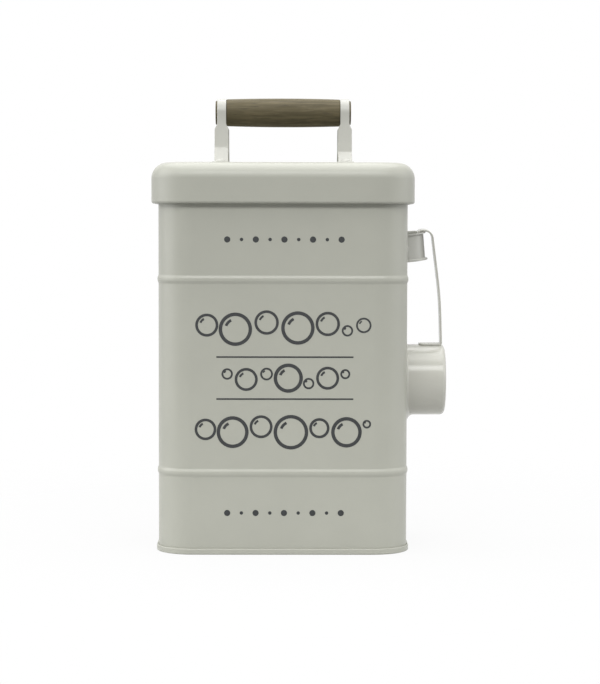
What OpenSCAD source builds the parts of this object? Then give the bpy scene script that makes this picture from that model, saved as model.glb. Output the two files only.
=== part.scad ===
// Lidded metal tin with a carrying handle on its lid and a scoop that hangs on its side.
// Millimetres. The origin is on the floor, in the middle of the whole outline with its scoop. The
// front faces -Y, and the scoop hangs on the +X side.

/* [Tin] */
// Width of the tin over its side walls
body_w = 186; // [150:1:240]
// Depth of the tin over its front and back walls
body_d = 130; // [105:1:180]
// Height from the floor to the top of the curled rim
body_h = 287.6; // [230:0.1:360]
// Radius of the upright corners, in plan
corner_r = 27; // [18:1:45]
// Thickness of the sheet of the wall, the base and the lid
sheet_t = 0.4; // [0.3:0.05:0.6]
// Radius of the curl along the rim
rim_r = 1.4; // [1.1:0.1:2]
// Width of the lap seam down the back
lap_w = 6; // [4:1:10]

/* [Beads] */
// Height of the middle of the lower bead above the floor
lower_bead_z = 60.6; // [30:0.1:100]
// Drop from the lid's lower edge to the middle of the upper bead
upper_bead_drop = 56; // [40:0.5:90]
// Height of a bead, from one edge to the other
bead_h = 6; // [5:0.5:10]
// How far a bead stands out of the wall
bead_out = 0.8; // [0.6:0.1:1.6]
// Radius of the bends of a bead
bead_r = 3; // [2:0.5:4]

/* [Base] */
// Height of the seam that joins the base to the wall
seam_h = 4.5; // [4:0.1:8]
// Gap between the layers of the seam
seam_gap = 0.1; // [0.05:0.01:0.15]
// How far the end of a hook stays from the bend that it points at
hook_gap = 0.4; // [0.3:0.1:0.8]
// Height of the upper face of the base panel above the floor
panel_z = 4; // [3.4:0.1:6]
// Radius of the bend round the base panel
panel_bend = 1; // [0.6:0.1:1.4]

/* [Lid] */
// How far the lid stands out past the wall
lid_out = 5.2; // [4.6:0.1:8]
// Height of the lid, from its lower edge to its top
lid_h = 30.5; // [24:0.1:50]
// Radius of the rounded edge round the lid's top
lid_edge_r = 12; // [8:0.5:16]
// Radius of the curl inside the lid's lower edge
hem_r = 1.8; // [1.2:0.1:2]
// Clearance between the rim and the lid that rests on it
lid_seat = 0.3; // [0.2:0.05:0.5]

/* [Handle] */
// Distance between the middles of the two straps
strap_span = 93.5; // [70:0.5:120]
// Thickness of a strap
strap_t = 1.3; // [1:0.1:2]
// Width of a strap's legs
leg_w = 10.5; // [9:0.5:14]
// Width of a strap where it wraps the grip
neck_w = 6.8; // [5:0.1:8.5]
// Width over the outer faces of a strap's front and back legs
leg_spread = 26; // [24:0.5:34]
// Height of the left strap's knees above the lid
left_knee_h = 12; // [7:0.1:16]
// Height of the right strap's knees above the lid
right_knee_h = 8.7; // [7:0.1:16]
// Width of a strap's round feet
foot_w = 13; // [11:0.5:16]
// Distance from the middle plane to a foot's rivet
foot_reach = 28; // [26:0.5:36]
// Height of the grip's axis above the lid
grip_h = 39.1; // [34:0.1:60]
// Diameter of the grip in the middle
grip_d = 21.8; // [18:0.1:30]
// Diameter of the barrel at its ends
grip_end_d = 20.4; // [19:0.1:23]
// Diameter of the tenons that the straps wrap
tenon_d = 18.2; // [15:0.1:19]
// How far a tenon stands out past its strap
tenon_out = 1.6; // [1:0.1:4]
// Clearance between the grip and the straps
grip_fit = 0.1; // [0.05:0.05:0.3]

/* [Rivets] */
// Diameter of a handle rivet's head
head_d = 7.6; // [6.5:0.1:9]
// Height of a handle rivet's head
head_h = 2.3; // [1.5:0.1:3]
// Diameter of a handle rivet's shank
shank_d = 4; // [3:0.1:5]
// Diameter of a bracket rivet's head
small_head_d = 6; // [5:0.1:8]
// Height of a bracket rivet's head
small_head_h = 1; // [0.8:0.1:2]
// Diameter of a bracket rivet's shank
small_shank_d = 3; // [2.5:0.1:4]
// Clearance of a shank in its hole, all round
rivet_fit = 0.1; // [0.05:0.05:0.2]
// Height of the head that is formed on the inside
tail_h = 1; // [0.8:0.1:1.6]

/* [Scoop bracket] */
// Drop from the lid's lower edge to the top of the bracket
bracket_drop = 21.6; // [15:0.1:32]
// Height of the bracket's band
bracket_h = 21.3; // [16:0.1:26]
// Radius of the band's round outer end
bracket_r = 14.5; // [12:0.1:18]
// How far the band stands out of the wall
bracket_out = 15.1; // [14.6:0.1:20]
// Thickness of the bracket's metal
bracket_t = 1; // [0.8:0.1:1.4]
// How far the band's upper and lower edges flare out
flare_out = 1.7; // [1.3:0.1:2]
// Angle by which the bracket sits rolled on the wall, back edge up
bracket_roll = 4; // [0:0.5:8]
// Angle by which the band slants on its ears, outer end up
bracket_tilt = 5; // [0:0.5:8]
// Length of an ear, from the band to its round end
ear_len = 11; // [9:0.5:16]
// Height of an ear
ear_h = 10; // [8:0.5:14]

/* [Scoop] */
// Outer diameter of the cup
cup_d = 54; // [44:1:64]
// Length of the cup, from its mouth to its closed end
cup_len = 30.3; // [27:0.1:45]
// Thickness of the cup's metal
cup_t = 0.8; // [0.6:0.1:1.2]
// Radius of the edge round the closed end
cup_edge_r = 3.2; // [2:0.1:6]
// How far the rim of the cup's mouth flares out
cup_rim_out = 1; // [0.8:0.1:1.6]
// How far the pouring lip stands out below the cup
lip_out = 6.7; // [4:0.1:8]
// Slope of the pouring lip at its end, from the cup's axis
lip_slope = 62; // [45:1:70]
// Radius of the bend into the pouring lip
lip_bend = 7; // [4:0.5:8]
// Radius of the round of the pouring lip, seen into the mouth
lip_r = 16; // [12:0.5:20]
// Gap between the cup's mouth and the tin's wall
cup_gap = 0.4; // [0.3:0.1:1]
// Width of the scoop's strap
scoop_strap_w = 14; // [10:0.5:16]
// Thickness of the scoop's strap
scoop_strap_t = 1.3; // [1:0.1:1.8]
// Length of the tab that is welded along the cup
tab_len = 17.5; // [12:0.5:22]
// Distance from the strap's outer face to the cup's closed end
strap_inset = 2; // [1:0.1:6]
// Drop from the top of the hook to the top of the cup
scoop_drop = 88.6; // [70:0.1:100]
// Distance between the hook's two legs at its top, centre to centre
hook_w = 10.6; // [9:0.1:12]
// Length of the hook's inner leg
hook_leg = 14; // [8:0.5:18]
// Gap between the hook's inner leg and the bracket's band
hook_inset = 3.5; // [2:0.1:5]
// Lean of the strap below the hook
hook_lean = 7; // [5:0.5:10]
// Drop from the top of the hook to the slight bend in the strap
strap_bend_drop = 53.5; // [20:0.5:62]
// Radius of the slight bend in the strap
strap_bend_r = 300; // [40:10:400]
// Clearance between the hook and the edge that it hangs on
hook_seat = 0.2; // [0.15:0.05:0.3]

/* [Hidden] */
$fn = 72;

cream = "#cfcec3";
walnut = "#62583f";

// Largest distance between a bend and the flats that stand for it
bend_error = 0.03;
// Length of a cutter past the faces that it cuts
past = 1;
// Flat stretch that joins a swept edge to the plate inside it
plate_join = 4;
// Gap of the weld between the scoop's tab and its cup
weld_gap = 0.05;

// The lid rests with its round edge on the rim, so its height follows from the two circles
rim_mid_z = body_h - rim_r;
rim_from_edge = max(0, lid_edge_r - lid_out - rim_r);
edge_reach = lid_edge_r - sheet_t - rim_r - lid_seat;
lid_top_z = rim_mid_z - sqrt(edge_reach * edge_reach - rim_from_edge * rim_from_edge) + lid_edge_r;
lid_low_z = lid_top_z - lid_h;
lid_w = body_w + 2 * lid_out;
lid_d = body_d + 2 * lid_out;
lid_corner_r = corner_r + lid_out;
upper_bead_z = lid_low_z - upper_bead_drop;

grip_z = lid_top_z + grip_h;
barrel_len = strap_span - neck_w - 2 * grip_fit;
grip_len = strap_span + neck_w + 2 * tenon_out;
hoop_r = tenon_d / 2 + grip_fit + strap_t / 2;

bracket_z = lid_low_z - bracket_drop - bracket_h / 2;
ear_rivet_y = bracket_r + ear_len - ear_h / 2;

// The hook rests on the highest point of the slanted and rolled band that its strap covers
band_rise = cos(bracket_tilt) * bracket_h / 2 + sin(bracket_tilt) * (bracket_out + flare_out);
hook_low_z = bracket_z + cos(bracket_roll) * band_rise
    + sin(bracket_roll) * scoop_strap_w / 2 + hook_seat;
hook_mid_z = hook_low_z + scoop_strap_t / 2;
hook_x = body_w / 2 + bracket_out - bracket_t - hook_inset - scoop_strap_t / 2;
cup_top_z = hook_low_z + scoop_strap_t - scoop_drop;
cup_z = cup_top_z - cup_d / 2;
cup_mouth_x = body_w / 2 + cup_gap;
strap_foot_x = cup_mouth_x + cup_len - strap_inset - scoop_strap_t / 2;

// The tin stands beside the origin, by half of what the scoop stands out further than the lid
tin_x = (lid_out - cup_gap - cup_len) / 2;

// Functions for bent sheet. A path is a list of [x, y, bend radius].
function xy(p) = [p.x, p.y];
function unit(v) = v / norm(v);
function left_of(a, b) = let (u = unit(b - a)) [-u.y, u.x];
function turned(v, angle) = [v.x * cos(angle) - v.y * sin(angle), v.x * sin(angle) + v.y * cos(angle)];
function reversed(list) = [for (i = [len(list) - 1 : -1 : 0]) list[i]];
function mirrored(path) = [for (p = reversed(path)) [-p.x, p.y, p.z]];
function turn_at(a, b, c) = let (u = b - a, v = c - b) atan2(u.x * v.y - u.y * v.x, u * v);
function bend_steps(angle, r) = r > 0 ? max(1, ceil(abs(angle) / (2 * acos(1 - bend_error / r)))) : 1;

// Points of the bend at b, on the line that lies off to the left of the path
function bend(a, b, c, r, off) =
    let (
        angle = turn_at(a, b, c),
        side = sign(angle),
        out = left_of(a, b) * -side,
        start = b - unit(b - a) * r * tan(abs(angle) / 2),
        centre = start - out * r,
        steps = bend_steps(angle, r)
    )
    [for (i = [0 : steps]) centre + turned(out, angle * i / steps) * (r - side * off)];

// The whole line that lies off to the left of the path
function line_beside(path, off) =
    let (
        last = len(path) - 1,
        p = [for (v = path) xy(v)],
        points = [
            p[0] + left_of(p[0], p[1]) * off,
            for (i = [1 : last - 1]) each bend(p[i - 1], p[i], p[i + 1], path[i].z, off),
            p[last] + left_of(p[last - 1], p[last]) * off
        ]
    )
    [for (i = [0 : len(points) - 1]) if (i == 0 || norm(points[i] - points[i - 1]) > 0.001) points[i]];

// Section of a sheet of thickness t that is bent along a path
module sheet(path, t) {
    polygon(concat(line_beside(path, t / 2), reversed(line_beside(path, -t / 2))));
}

// A section, with x outwards and y up, swept round a rectangle with round corners
module swept_round(w, d, r) {
    for (k = [0 : 3]) {
        sideways = k % 2 == 0;
        rotate([0, 0, 90 * k])
            translate([(sideways ? w : d) / 2, 0, 0])
                rotate([90, 0, 0])
                    linear_extrude((sideways ? d : w) - 2 * r, center = true) children();
        translate([(k == 0 || k == 3 ? 1 : -1) * (w / 2 - r), (k < 2 ? 1 : -1) * (d / 2 - r), 0])
            rotate([0, 0, 90 * k])
                rotate_extrude(angle = 90)
                    translate([r, 0]) children();
    }
}

// Outline of a rectangle with round corners, inset from one of w by d with corners of r
module rounded_plan(w, d, r, inset) {
    square([w - 2 * inset, d - 2 * r], center = true);
    square([w - 2 * r, d - 2 * inset], center = true);
    for (x = [-1, 1], y = [-1, 1])
        translate([x * (w / 2 - r), y * (d / 2 - r)]) circle(r - inset);
}

// Place of layer k of the base seam, out from the wall: the wall's own sheet is layer 0
function layer(k) = (k - 0.5) * sheet_t + k * seam_gap;

// A bead pressed out of the wall, with its middle at z
function bead(z) = [
    [layer(0), z - bead_h / 2, bead_r],
    [layer(0) + bead_out, z - bead_h / 6, bead_r],
    [layer(0) + bead_out, z + bead_h / 6, bead_r],
    [layer(0), z + bead_h / 2, bead_r]
];

// The wall's section: up from its hook in the base seam, over both beads, into the inward curl
hook_bend = sheet_t + seam_gap;
curl_r = rim_r - sheet_t / 2;
wall_foot_z = 1.5 * sheet_t + seam_gap;
wall_path = concat(
    [
        [layer(2), seam_h - sheet_t - hook_gap, 0],
        [layer(2), wall_foot_z, hook_bend],
        [layer(0), wall_foot_z, hook_bend]
    ],
    bead(lower_bead_z),
    bead(upper_bead_z),
    [
        [layer(0), rim_mid_z + curl_r, curl_r],
        [layer(0) - 2 * curl_r, rim_mid_z + curl_r, curl_r],
        [layer(0) - 2 * curl_r, rim_mid_z - curl_r, curl_r],
        [layer(0) - curl_r / 2, rim_mid_z - curl_r, 0]
    ]
);

// The lap of the wall's second edge, over the beads but clear of the seam and of the rim
lap_path = concat(
    [[layer(1) - seam_gap, seam_h + hook_gap, 0]],
    [for (p = concat(bead(lower_bead_z), bead(upper_bead_z))) [p.x + sheet_t, p.y, p.z]],
    [[layer(1) - seam_gap, rim_mid_z - 2 * rim_r, 0]]
);

module tin_body() {
    color(cream)
        difference() {
            union() {
                swept_round(body_w, body_d, corner_r) sheet(wall_path, sheet_t);
                rotate([0, 0, 90])
                    translate([body_d / 2, 0, 0])
                        rotate([90, 0, 0])
                            linear_extrude(lap_w, center = true) sheet(lap_path, sheet_t);
            }
            at_ear_rivets()
                translate([0, 0, -sheet_t - past])
                    cylinder(d = small_shank_d + 2 * rivet_fit, h = sheet_t + 2 * past);
        }
}

// The base's section: from its panel down, round under the wall, and up into the double seam.
// The bends leave a flat strip between them, on which the tin stands.
seam_bend = 1.5 * hook_bend;
panel_path = [
    [layer(-1) - panel_bend - plate_join, panel_z - sheet_t / 2, 0],
    [layer(-1), panel_z - sheet_t / 2, panel_bend],
    [layer(-1), sheet_t / 2, seam_bend],
    [layer(3), sheet_t / 2, seam_bend],
    [layer(3), seam_h - sheet_t / 2, hook_bend],
    [layer(1), seam_h - sheet_t / 2, hook_bend],
    [layer(1), wall_foot_z + sheet_t / 2 + hook_gap, 0]
];

module base_pan() {
    color(cream) {
        swept_round(body_w, body_d, corner_r) sheet(panel_path, sheet_t);
        translate([0, 0, panel_z - sheet_t])
            linear_extrude(sheet_t)
                rounded_plan(body_w, body_d, corner_r, panel_bend + plate_join / 2 - layer(-1));
    }
}

// The lid's section: from the curl inside its lower edge, up the skirt and over the round edge
hem_bend = hem_r - sheet_t / 2;
skirt_x = -sheet_t / 2;
lid_path = [
    [skirt_x - hem_bend / 2, lid_low_z + sheet_t / 2 + 2 * hem_bend, 0],
    [skirt_x - 2 * hem_bend, lid_low_z + sheet_t / 2 + 2 * hem_bend, hem_bend],
    [skirt_x - 2 * hem_bend, lid_low_z + sheet_t / 2, hem_bend],
    [skirt_x, lid_low_z + sheet_t / 2, hem_bend],
    [skirt_x, lid_top_z - sheet_t / 2, lid_edge_r - sheet_t / 2],
    [-lid_edge_r - plate_join, lid_top_z - sheet_t / 2, 0]
];

module lid_shell() {
    color(cream)
        difference() {
            union() {
                swept_round(lid_w, lid_d, lid_corner_r) sheet(lid_path, sheet_t);
                translate([0, 0, lid_top_z - sheet_t])
                    linear_extrude(sheet_t)
                        rounded_plan(lid_w, lid_d, lid_corner_r, lid_edge_r + plate_join / 2);
            }
            for (x = [-1, 1], y = [-1, 1])
                at_foot(x, y)
                    translate([0, 0, -sheet_t - past])
                        cylinder(d = shank_d + 2 * rivet_fit, h = sheet_t + 2 * past);
        }
}

// Puts its children on the lid, under one foot of a strap
module at_foot(x, y) {
    translate([x * strap_span / 2, y * foot_reach, lid_top_z]) children();
}

// Half of a strap's path, from its foot to the top of its hoop, as distance out and height
leg_y = (leg_spread - strap_t) / 2;
function half_strap(knee_h) = [
    [foot_reach, strap_t / 2, 0],
    [foot_reach - foot_w / 2 - strap_t, strap_t / 2, 2 * strap_t],
    [leg_y, knee_h, 2 * strap_t],
    [leg_y, grip_h - 0.8 * tenon_d, 4 * strap_t],
    [hoop_r, grip_h - 0.35 * tenon_d, 4 * strap_t],
    [hoop_r, grip_h + hoop_r, hoop_r]
];

// A strap seen from the front: its neck widens into its legs just below the grip
half_front = [
    [leg_w / 2, -past, 0],
    [leg_w / 2, grip_h - 0.7 * tenon_d, 2],
    [neck_w / 2, grip_h - tenon_d / 2, 2],
    [neck_w / 2, grip_h + tenon_d, 0]
];

module handle_strap(side, knee_h) {
    color(cream)
        translate([side * strap_span / 2, 0, lid_top_z])
            difference() {
                union() {
                    intersection() {
                        rotate([90, 0, 90])
                            linear_extrude(leg_w, center = true)
                                sheet(concat(half_strap(knee_h), mirrored(half_strap(knee_h))), strap_t);
                        rotate([90, 0, 0])
                            linear_extrude(2 * (foot_reach + past), center = true)
                                polygon(line_beside(concat(half_front, mirrored(half_front)), 0));
                    }
                    for (y = [-1, 1])
                        translate([0, y * foot_reach, 0]) cylinder(d = foot_w, h = strap_t);
                }
                for (y = [-1, 1])
                    translate([0, y * foot_reach, -past])
                        cylinder(d = shank_d + 2 * rivet_fit, h = strap_t + 2 * past);
            }
}

module handle_strap_left() {
    handle_strap(-1, left_knee_h);
}

module handle_strap_right() {
    handle_strap(1, right_knee_h);
}

// Half of the turned grip, as radius and distance from its middle
barrel_steps = 8;
barrel_round = 1.5;
half_grip = concat(
    [
        [0, -grip_len / 2, 0],
        [tenon_d / 2, 0.3 - grip_len / 2, 0.8],
        [tenon_d / 2, -barrel_len / 2, 0],
        [grip_end_d / 2, -barrel_len / 2, (grip_end_d - tenon_d) / 2.5]
    ],
    [
        for (i = [1 : barrel_steps - 1])
            let (s = 1 - i / barrel_steps)
            [(grip_d - (grip_d - grip_end_d) * s * s) / 2, -s * barrel_len / 2, 0]
    ]
);
other_half_grip = [for (p = reversed(half_grip)) [p.x, -p.y, p.z]];

module wooden_grip() {
    color(walnut)
        translate([0, 0, grip_z])
            rotate([0, 90, 0])
                rotate_extrude()
                    polygon(line_beside(concat(half_grip, [[grip_d / 2, 0, 0]], other_half_grip), 0));
}

// A rivet that stands on z = 0 and holds layers of the given thickness below it
module rivet(d, h, shank, layers) {
    ball_r = (d * d / 4 + h * h) / (2 * h);
    rotate_extrude() {
        intersection() {
            translate([0, h - ball_r]) circle(ball_r);
            square([d, h]);
        }
        translate([0, -layers - tail_h]) square([shank / 2, layers + tail_h + h / 2]);
        translate([0, -layers - tail_h]) square([0.4 * d, tail_h]);
    }
}

module handle_rivet(x, y) {
    color(cream)
        at_foot(x, y)
            translate([0, 0, strap_t]) rivet(head_d, head_h, shank_d, strap_t + sheet_t);
}

module handle_rivet_left_front() {
    handle_rivet(-1, -1);
}

module handle_rivet_left_back() {
    handle_rivet(-1, 1);
}

module handle_rivet_right_front() {
    handle_rivet(1, -1);
}

module handle_rivet_right_back() {
    handle_rivet(1, 1);
}

// Puts its children on the side wall, rolled as the bracket is, with x out of the wall
module at_bracket() {
    translate([body_w / 2, 0, bracket_z]) rotate([bracket_roll, 0, 0]) children();
}

// Puts its children at both rivets of the bracket's ears, with z out of the wall
module at_ear_rivets() {
    for (y = [-1, 1])
        at_bracket()
            translate([0, y * ear_rivet_y, 0]) rotate([0, 90, 0]) children();
}

// The section of the bracket's band, which flares out at both edges
band_path = [
    [flare_out, (bracket_h - bracket_t) / 2, 0],
    [-bracket_t / 2, (bracket_h - bracket_t) / 2, flare_out],
    [-bracket_t / 2, (bracket_t - bracket_h) / 2, flare_out],
    [flare_out, (bracket_t - bracket_h) / 2, 0]
];

// The band: a half ring with two straights that run on into the wall by what the slant cuts off
module band() {
    straight = bracket_out - bracket_r;
    sunk = bracket_h / 2 * tan(bracket_tilt) + past;
    translate([straight, 0, 0])
        rotate([0, 0, -90])
            rotate_extrude(angle = 180)
                translate([bracket_r, 0]) sheet(band_path, bracket_t);
    for (flip = [0, 1])
        mirror([0, flip, 0])
            translate([-sunk, 0, 0])
                rotate([90, 0, 90])
                    linear_extrude(sunk + straight)
                        translate([bracket_r, 0]) sheet(band_path, bracket_t);
}

module scoop_bracket() {
    color(cream)
        at_bracket()
            difference() {
                union() {
                    intersection() {
                        rotate([0, -bracket_tilt, 0]) band();
                        translate([0, -2 * bracket_r, -bracket_h])
                            cube([2 * bracket_out, 4 * bracket_r, 2 * bracket_h]);
                    }
                    for (flip = [0, 1])
                        mirror([0, flip, 0]) {
                            translate([0, bracket_r - bracket_t, -ear_h / 2])
                                cube([bracket_t, ear_len + bracket_t - ear_h / 2, ear_h]);
                            translate([0, ear_rivet_y, 0])
                                rotate([0, 90, 0]) cylinder(d = ear_h, h = bracket_t);
                        }
                }
                for (y = [-1, 1])
                    translate([-past, y * ear_rivet_y, 0])
                        rotate([0, 90, 0])
                            cylinder(d = small_shank_d + 2 * rivet_fit, h = bracket_t + 2 * past);
            }
}

module bracket_rivet(y) {
    color(cream)
        at_bracket()
            translate([bracket_t, y * ear_rivet_y, 0])
                rotate([0, 90, 0])
                    rivet(small_head_d, small_head_h, small_shank_d, bracket_t + sheet_t);
}

module bracket_rivet_front() {
    bracket_rivet(-1);
}

module bracket_rivet_back() {
    bracket_rivet(1);
}

// The section of a round tube that flares out at its mouth, as radius and distance from the mouth.
// It runs on past the mouth, so that one flat cut ends everything there.
function flared_tube(r, out, slope, bend_r) = [
    [r + out + past * tan(slope), -past, 0],
    [r, out / tan(slope), bend_r]
];

// The cup flares a little all round its mouth
rim_slope = 45;
rim_bend = 2;
cup_r = (cup_d - cup_t) / 2;
cup_path = concat(
    flared_tube(cup_r, cup_rim_out, rim_slope, rim_bend),
    [[cup_r, cup_len - cup_t / 2, cup_edge_r - cup_t / 2], [0, cup_len - cup_t / 2, 0]]
);

// The pouring lip is the flared mouth of a smaller tube that lies along the bottom of the cup
lip_sink = cup_t / 4;
lip_shift = cup_d / 2 - lip_r - lip_sink;
lip_len = (lip_out + lip_sink) / tan(lip_slope) + lip_bend;
lip_path = concat(
    flared_tube(lip_r - cup_t / 2, lip_out + lip_sink, lip_slope, lip_bend),
    [[lip_r - cup_t / 2, lip_len, cup_t], [0, lip_len, 0]]
);

// The solid inside a tube's section, out to the line that lies off to the left of the path
module filled(path, off) {
    rotate([0, 90, 0])
        rotate_extrude()
            polygon(concat(line_beside(path, off), [[0, -past]]));
}

module scoop_cup() {
    color(cream)
        translate([cup_mouth_x, 0, cup_z])
            intersection() {
                difference() {
                    union() {
                        filled(cup_path, -cup_t / 2);
                        translate([0, 0, -lip_shift]) filled(lip_path, -cup_t / 2);
                    }
                    filled(cup_path, cup_t / 2);
                    translate([0, 0, -lip_shift]) filled(lip_path, cup_t / 2);
                }
                translate([0, -cup_d, -cup_d]) cube([cup_len + past, 2 * cup_d, 2 * cup_d]);
            }
}

// The strap's path: up the hook's inner leg, over the bracket, and down to the cup
strap_bend_x = hook_x + hook_w + (strap_bend_drop - scoop_strap_t / 2) * tan(hook_lean);
tab_sag = cup_d / 2 - sqrt(cup_d * cup_d / 4 - scoop_strap_w * scoop_strap_w / 4);
scoop_strap_path = [
    [hook_x, hook_mid_z - hook_leg, 0],
    [hook_x, hook_mid_z, 2.5 * scoop_strap_t],
    [hook_x + hook_w, hook_mid_z, 5 * scoop_strap_t],
    [strap_bend_x, hook_low_z + scoop_strap_t - strap_bend_drop, strap_bend_r],
    [strap_foot_x, cup_top_z - tab_sag, 0]
];

module scoop_handle() {
    outer_x = strap_foot_x + scoop_strap_t / 2;
    inner_r = cup_d / 2 + weld_gap;
    color(cream)
        difference() {
            union() {
                rotate([90, 0, 0])
                    linear_extrude(scoop_strap_w, center = true) sheet(scoop_strap_path, scoop_strap_t);
                intersection() {
                    translate([outer_x - tab_len, 0, cup_z])
                        rotate([0, 90, 0]) cylinder(r = inner_r + scoop_strap_t, h = tab_len);
                    translate([outer_x - tab_len, -scoop_strap_w / 2, cup_z])
                        cube([tab_len, scoop_strap_w, cup_d]);
                }
            }
            translate([outer_x - tab_len - past, 0, cup_z])
                rotate([0, 90, 0]) cylinder(r = inner_r, h = tab_len + 2 * past);
        }
}

// Moves its children from the tin's own middle to its place beside the origin
module placed() {
    translate([tin_x, 0, 0]) children();
}

placed() tin_body();
placed() base_pan();
placed() lid_shell();
placed() handle_strap_left();
placed() handle_strap_right();
placed() wooden_grip();
placed() handle_rivet_left_front();
placed() handle_rivet_left_back();
placed() handle_rivet_right_front();
placed() handle_rivet_right_back();
placed() scoop_bracket();
placed() bracket_rivet_front();
placed() bracket_rivet_back();
placed() scoop_cup();
placed() scoop_handle();
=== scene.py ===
import math

import bmesh
import bpy
from mathutils import Matrix, Vector


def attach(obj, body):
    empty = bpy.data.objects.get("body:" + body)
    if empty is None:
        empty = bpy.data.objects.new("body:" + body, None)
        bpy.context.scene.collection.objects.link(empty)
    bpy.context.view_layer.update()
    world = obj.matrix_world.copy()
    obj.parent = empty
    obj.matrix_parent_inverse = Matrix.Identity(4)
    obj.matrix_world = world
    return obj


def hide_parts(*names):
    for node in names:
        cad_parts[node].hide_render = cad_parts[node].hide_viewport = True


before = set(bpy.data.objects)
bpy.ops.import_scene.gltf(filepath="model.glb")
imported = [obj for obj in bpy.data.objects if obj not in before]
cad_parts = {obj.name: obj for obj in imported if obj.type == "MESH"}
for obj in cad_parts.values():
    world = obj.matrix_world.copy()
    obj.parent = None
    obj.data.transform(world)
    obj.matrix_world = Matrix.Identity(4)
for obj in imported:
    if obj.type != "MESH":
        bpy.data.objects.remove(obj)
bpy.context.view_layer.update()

scene = bpy.context.scene
MM = 0.001

# Sizes of the caddy in millimetres, measured from the tin's own middle on the floor
BODY_W, BODY_D, BODY_H, CORNER_R = 186, 130, 287.6, 27
SHEET_T, SEAM_GAP, SEAM_H, HOOK_GAP = 0.4, 0.1, 4.5, 0.4
RIM_R, LAP_W = 1.4, 6
PANEL_Z, PANEL_BEND, PLATE_JOIN = 4, 1, 4
LOWER_BEAD_Z, BEAD_H, BEAD_OUT, BEAD_R = 60.6, 6, 0.8, 3
LID_OUT, LID_H, LID_EDGE_R, HEM_R, LID_SEAT = 5.2, 30.5, 12, 1.8, 0.3
LID_W, LID_D, LID_CORNER_R = BODY_W + 2 * LID_OUT, BODY_D + 2 * LID_OUT, CORNER_R + LID_OUT
LID_TOP_Z = (BODY_H - RIM_R + LID_EDGE_R
             - math.sqrt((LID_EDGE_R - SHEET_T - RIM_R - LID_SEAT) ** 2
                         - (LID_EDGE_R - LID_OUT - RIM_R) ** 2))
LID_LOW_Z = LID_TOP_Z - LID_H
UPPER_BEAD_Z = LID_LOW_Z - 56
STRAP_SPAN, STRAP_T, LEG_W, NECK_W = 93.5, 1.3, 10.5, 6.8
LEG_BEND_R = 60
LEG_SPREAD, LEFT_KNEE_H, RIGHT_KNEE_H, FOOT_W, FOOT_REACH = 26, 12, 8.7, 13, 28
GRIP_H, GRIP_D, GRIP_END_D = 39.1, 21.8, 20.4
TENON_D, TENON_OUT, GRIP_FIT = 18.2, 1.6, 0.1
HEAD_D, HEAD_H, SHANK_D, TAIL_H = 7.6, 2.3, 4, 1
SMALL_HEAD_D, SMALL_HEAD_H, SMALL_SHANK_D = 6, 1, 3
BRACKET_H, BRACKET_R, BRACKET_OUT, BRACKET_T = 21.3, 14.5, 15.1, 1
FLARE_OUT, BRACKET_ROLL, BRACKET_TILT, EAR_LEN, EAR_H = 1.7, 4, 5, 11, 10
CUP_D, CUP_LEN, CUP_T, CUP_EDGE_R, CUP_RIM_OUT = 54, 30.3, 0.8, 3.2, 1
LIP_OUT, LIP_SLOPE, LIP_BEND, LIP_R, CUP_GAP = 6.7, 62, 7, 16, 0.4
SCOOP_STRAP_W, SCOOP_STRAP_T, TAB_LEN, STRAP_INSET = 14, 1.3, 17.5, 2
SCOOP_DROP, HOOK_W, HOOK_LEG, HOOK_INSET = 88.6, 10.6, 14, 3.5
HOOK_LEAN, STRAP_BEND_DROP, STRAP_BEND_R = 7, 53.5, 300
HOOK_SEAT, WELD_GAP, HOOK_LIE_FADE = 0.2, 0.05, 40

TIN_X = (LID_OUT - CUP_GAP - CUP_LEN) / 2
GRIP_Z = LID_TOP_Z + GRIP_H
HOOP_R = TENON_D / 2 + GRIP_FIT + STRAP_T / 2
BRACKET_Z = LID_LOW_Z - 21.6 - BRACKET_H / 2
EAR_RIVET_Y = BRACKET_R + EAR_LEN - EAR_H / 2
ROLL, TILT = math.radians(BRACKET_ROLL), math.radians(BRACKET_TILT)
BAND_RISE = math.cos(TILT) * BRACKET_H / 2 + math.sin(TILT) * (BRACKET_OUT + FLARE_OUT)
HOOK_LOW_Z = (BRACKET_Z + math.cos(ROLL) * BAND_RISE
              + math.sin(ROLL) * SCOOP_STRAP_W / 2 + HOOK_SEAT)
HOOK_MID_Z = HOOK_LOW_Z + SCOOP_STRAP_T / 2
HOOK_X = BODY_W / 2 + BRACKET_OUT - BRACKET_T - HOOK_INSET - SCOOP_STRAP_T / 2
CUP_TOP_Z = HOOK_LOW_Z + SCOOP_STRAP_T - SCOOP_DROP
CUP_Z = CUP_TOP_Z - CUP_D / 2
CUP_MOUTH_X = BODY_W / 2 + CUP_GAP
STRAP_FOOT_X = CUP_MOUTH_X + CUP_LEN - STRAP_INSET - SCOOP_STRAP_T / 2


# Bent sheet in plan
def bend_points(a, b, c, radius, off, error=0.004):
    """Points of the bend at b, on the line that lies off to the left of a-b-c."""
    u, v = (b - a).normalized(), (c - b).normalized()
    angle = math.atan2(u.x * v.y - u.y * v.x, u.dot(v))
    side = math.copysign(1, angle)
    out = Vector((-u.y, u.x)) * -side
    start = b - u * radius * math.tan(abs(angle) / 2)
    centre = start - out * radius
    steps = 1
    if radius > 0:
        steps = max(2, math.ceil(abs(angle) / (2 * math.acos(1 - error / max(radius, 0.2)))))
    points = []
    for i in range(steps + 1):
        t = angle * i / steps
        turned = Vector((out.x * math.cos(t) - out.y * math.sin(t),
                         out.x * math.sin(t) + out.y * math.cos(t)))
        points.append(centre + turned * (radius - side * off))
    return points


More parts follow.
